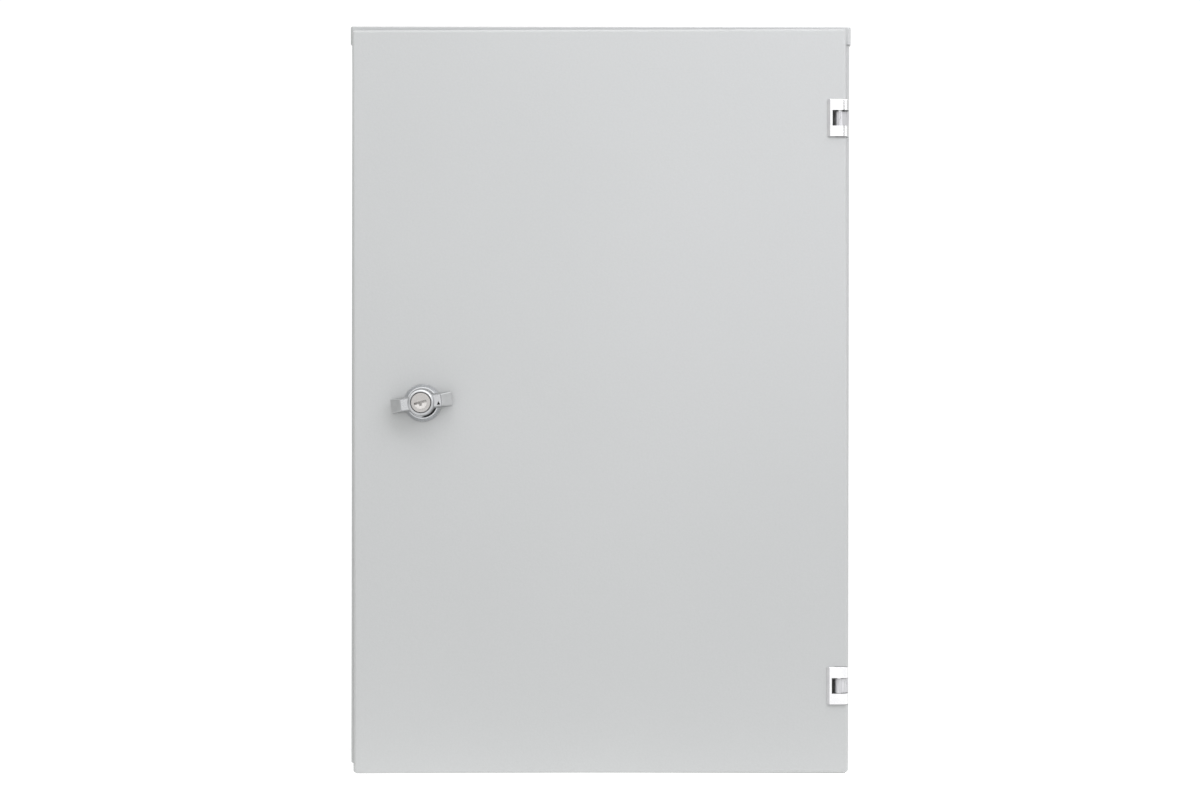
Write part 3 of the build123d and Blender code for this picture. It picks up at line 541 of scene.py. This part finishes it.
# -------------------------------------------------------------- stage, light
FLOOR_Z = -0.3000 - 0.0004
floor_mesh = bpy.data.meshes.new("floor")
bm = bmesh.new()
bmesh.ops.create_grid(bm, x_segments=8, y_segments=8, size=14.0)
bm.to_mesh(floor_mesh)
bm.free()
floor = bpy.data.objects.new("floor", floor_mesh)
bpy.context.collection.objects.link(floor)
floor.location = (0, 0, FLOOR_Z)
fm = Mat("pale_floor", Roughness=0.9, Specular_IOR_Level=0.1)
fm.colour(fm.ramp(fm.noise(6.0, 3.0, 0.5), [(0.3, (0.235, 0.235, 0.235)), (0.7, (0.245, 0.245, 0.245))]))
fm.bsdf.inputs["Emission Color"].default_value = (1, 1, 1, 1)
# the floor glows, its glow strongest just in front of the cabinet: a painted pool of light
glow_pool = fm.node("ShaderNodeTexGradient", gradient_type="SPHERICAL")
fm.link(fm.mapped(scale=(0.8, 6.2, 1.0), move=(0.0, 1.3, 0.0)), glow_pool.inputs["Vector"])
fm.link(fm.remap(glow_pool.outputs["Fac"], 0.74, 1.30), fm.bsdf.inputs["Emission Strength"])
floor_mesh.materials.append(fm.mat)

scene = bpy.context.scene
scene.view_settings.view_transform = "Standard"
scene.view_settings.look = "None"
scene.view_settings.exposure = 0.0
scene.view_settings.gamma = 1.0

world = bpy.data.worlds.new("studio")
scene.world = world
world.use_nodes = True
wt = world.node_tree
wt.nodes.clear()


def wnode(kind, **props):
    n = wt.nodes.new(kind)
    for k, v in props.items():
        setattr(n, k, v)
    return n


def wmath(op, a, b=None, clamp=False):
    n = wnode("ShaderNodeMath", operation=op, use_clamp=clamp)
    for sock, v in zip(n.inputs, (a, b)):
        if v is None:
            continue
        if isinstance(v, (int, float)):
            sock.default_value = v
        else:
            wt.links.new(v, sock)
    return n.outputs["Value"]


def wstep(value, lo, hi, top):
    n = wnode("ShaderNodeMapRange", interpolation_type="SMOOTHSTEP")
    n.inputs["From Min"].default_value = lo
    n.inputs["From Max"].default_value = hi
    n.inputs["To Min"].default_value = 0.0
    n.inputs["To Max"].default_value = top
    wt.links.new(value, n.inputs["Value"])
    return n.outputs["Result"]


# a bright room: strongest overhead, a tall window ahead on the right, a panel in front;
# matt surfaces take less of it from overhead and more from behind and from the fill
direction = wnode("ShaderNodeTexCoord").outputs["Generated"]
axes = wnode("ShaderNodeSeparateXYZ")
wt.links.new(direction, axes.inputs["Vector"])
ax, ay, az = axes.outputs["X"], axes.outputs["Y"], axes.outputs["Z"]
up = wmath("MAXIMUM", az, 0.0)
right = wmath("MAXIMUM", ax, 0.0)
ahead = wmath("MAXIMUM", wmath("MULTIPLY", ay, -1.0), 0.0)
behind = wmath("MAXIMUM", ay, 0.0)
path = wnode("ShaderNodeLightPath")
matt = path.outputs["Is Diffuse Ray"]
dome = wmath("SUBTRACT", 2.2, wmath("MULTIPLY", matt, 1.1))
room = wmath("ADD", 0.36, wmath("MULTIPLY", wmath("POWER", up, 1.3), dome))
room = wmath("ADD", room, wmath("MULTIPLY", right, 0.20))
room = wmath("ADD", room, wmath("MULTIPLY", behind, wmath("ADD", 0.25, wmath("MULTIPLY", matt, 0.55))))
window = wmath("MULTIPLY", wstep(ax, 0.55, 0.66, 0.65), wstep(ahead, 0.10, 0.28, 1.0))
room = wmath("ADD", room, window)
room = wmath("ADD", room, wstep(ahead, 0.950, 0.984, 0.85))
lit = wnode("ShaderNodeBackground")
wt.links.new(room, lit.inputs["Strength"])
lit.inputs["Color"].default_value = (1.0, 1.0, 1.0, 1.0)
seen = wnode("ShaderNodeBackground")
seen.inputs["Color"].default_value = (1.0, 1.0, 1.0, 1.0)
seen.inputs["Strength"].default_value = 1.06
pick = wnode("ShaderNodeMixShader")
wt.links.new(path.outputs["Is Camera Ray"], pick.inputs["Fac"])
wt.links.new(lit.outputs["Background"], pick.inputs[1])
wt.links.new(seen.outputs["Background"], pick.inputs[2])
out = wnode("ShaderNodeOutputWorld")
wt.links.new(pick.outputs["Shader"], out.inputs["Surface"])


def softbox(name, at, aim, w, h, watts, colour):
    light = bpy.data.lights.new(name, "AREA")
    light.shape = "RECTANGLE"
    light.size, light.size_y = w, h
    light.energy = watts
    ob = bpy.data.objects.new(name, light)
    bpy.context.collection.objects.link(ob)
    ob.location = at
    ob.rotation_euler = (Vector(aim) - Vector(at)).to_track_quat("-Z", "Y").to_euler()
    ob.visible_camera = False
    light.color = colour
    return ob


softbox("key", (0.78, -1.05, 0.80), (0.0, -0.2, 0.05), 0.6, 0.6, 5.2, (0.94, 0.92, 1.0))
softbox("overhead", (0.0, -1.0, 1.0), (0.0, -0.2, 0.1), 0.8, 0.5, 3.3, (0.97, 0.97, 1.0))

fill = softbox("fill", (0.0, -1.95, 0.35), (0.0, -0.2, 0.0), 0.9, 0.9, 6.2, (0.97, 0.97, 1.0))
fill.visible_glossy = False

# -------------------------------------------------------------------- camera
IMAGE_W = 1200.0
PX_PER_M = 1257.0  # photograph's scale at the door's face
DISTANCE = 1.9
DOOR_FACE_Y = -0.200
cam = bpy.data.cameras.new("camera")
cam.sensor_fit = "HORIZONTAL"
cam.sensor_width = 36.0
cam.lens = PX_PER_M * DISTANCE * cam.sensor_width / IMAGE_W
cam.clip_end = 100.0
camera = bpy.data.objects.new("camera", cam)
bpy.context.collection.objects.link(camera)
camera.location = (-0.0002, DOOR_FACE_Y - DISTANCE, 0.0)
camera.rotation_euler = (math.radians(90.0), math.radians(-0.08), 0.0)
scene.camera = camera
